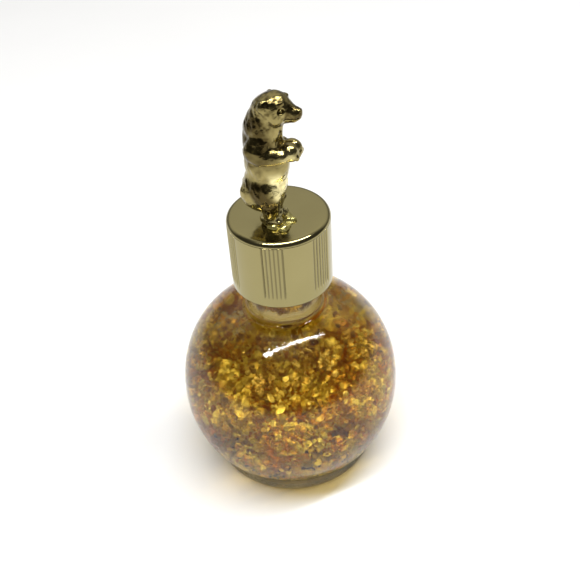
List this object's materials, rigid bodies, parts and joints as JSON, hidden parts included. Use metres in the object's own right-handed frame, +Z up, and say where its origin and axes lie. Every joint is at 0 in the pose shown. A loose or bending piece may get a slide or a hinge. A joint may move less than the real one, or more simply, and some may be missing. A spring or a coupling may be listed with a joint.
{
  "type": "gold sample vial",
  "caption": "Globe-shaped glass vial of gold leaf in clear liquid, with a ribbed gold screw cap that unscrews with its plug stopper and carries a standing bear.",
  "frame": {"origin": "centre of the foot ring, on the surface the vial stands on", "axes": "+Z up along the bottle's axis, through the neck and the cap; the bear looks along +X, turned 20 degrees towards -Y"},
  "size_m": [0.0344, 0.0344, 0.0666],
  "materials": {
    "clear_glass": "polished",
    "clear_liquid": "gloss",
    "white_plastic": "satin",
    "white_liner": "matte",
    "gold_plated_plastic": "polished",
    "dried_glue": "gloss",
    "gold_casting": "polished",
    "gold_leaf": "gloss"
  },
  "bodies": {
    "bottle": {"glass_bottle": "clear_glass"},
    "contents": {"liquid_fill": "clear_liquid", "gold_leaf_01": "gold_leaf", "gold_leaf_02": "gold_leaf", "gold_leaf_03": "gold_leaf", "gold_leaf_04": "gold_leaf", "gold_leaf_05": "gold_leaf", "gold_leaf_06": "gold_leaf", "gold_leaf_07": "gold_leaf", "gold_leaf_08": "gold_leaf", "gold_leaf_09": "gold_leaf", "gold_leaf_10": "gold_leaf", "gold_leaf_11": "gold_leaf", "gold_leaf_12": "gold_leaf", "gold_leaf_13": "gold_leaf", "gold_leaf_14": "gold_leaf", "gold_leaf_15": "gold_leaf", "gold_leaf_16": "gold_leaf", "gold_leaf_17": "gold_leaf", "gold_leaf_18": "gold_leaf", "gold_leaf_19": "gold_leaf", "gold_leaf_20": "gold_leaf", "gold_leaf_21": "gold_leaf", "gold_leaf_22": "gold_leaf", "gold_leaf_23": "gold_leaf", "gold_leaf_24": "gold_leaf", "gold_leaf_25": "gold_leaf", "gold_leaf_26": "gold_leaf", "gold_leaf_27": "gold_leaf", "gold_leaf_28": "gold_leaf", "gold_leaf_29": "gold_leaf", "gold_leaf_30": "gold_leaf", "gold_leaf_31": "gold_leaf", "gold_leaf_32": "gold_leaf", "gold_leaf_33": "gold_leaf", "gold_leaf_34": "gold_leaf", "gold_leaf_35": "gold_leaf", "gold_leaf_36": "gold_leaf", "gold_leaf_37": "gold_leaf", "gold_leaf_38": "gold_leaf", "gold_leaf_39": "gold_leaf", "gold_leaf_40": "gold_leaf"},
    "stopper": {"stopper_plug": "white_plastic"},
    "cap": {"cap_shell": "gold_plated_plastic", "cap_liner": "white_liner", "glue_pad": "dried_glue", "bear_figure": "gold_casting"}
  },
  "joints": [
    {"name": "cap_turn", "type": "hinge", "parent": "stopper", "child": "cap", "pos_m": [0, 0, 0.035], "axis": [0, 0, 1], "range_deg": [0, 1710]},
    {"name": "cap_rise", "type": "slide", "parent": "bottle", "child": "stopper", "axis": [0, 0, 1], "range_m": [0, 0.01005]},
    {"name": "contents_swirl", "type": "hinge", "parent": "bottle", "child": "contents", "pos_m": [0, 0, 0.0138], "axis": [0, 0, 1], "continuous": true}
  ],
  "couplings": [
    {"joint": "cap_turn", "follows": "cap_rise", "rad_per_m": 2968.4}
  ]
}
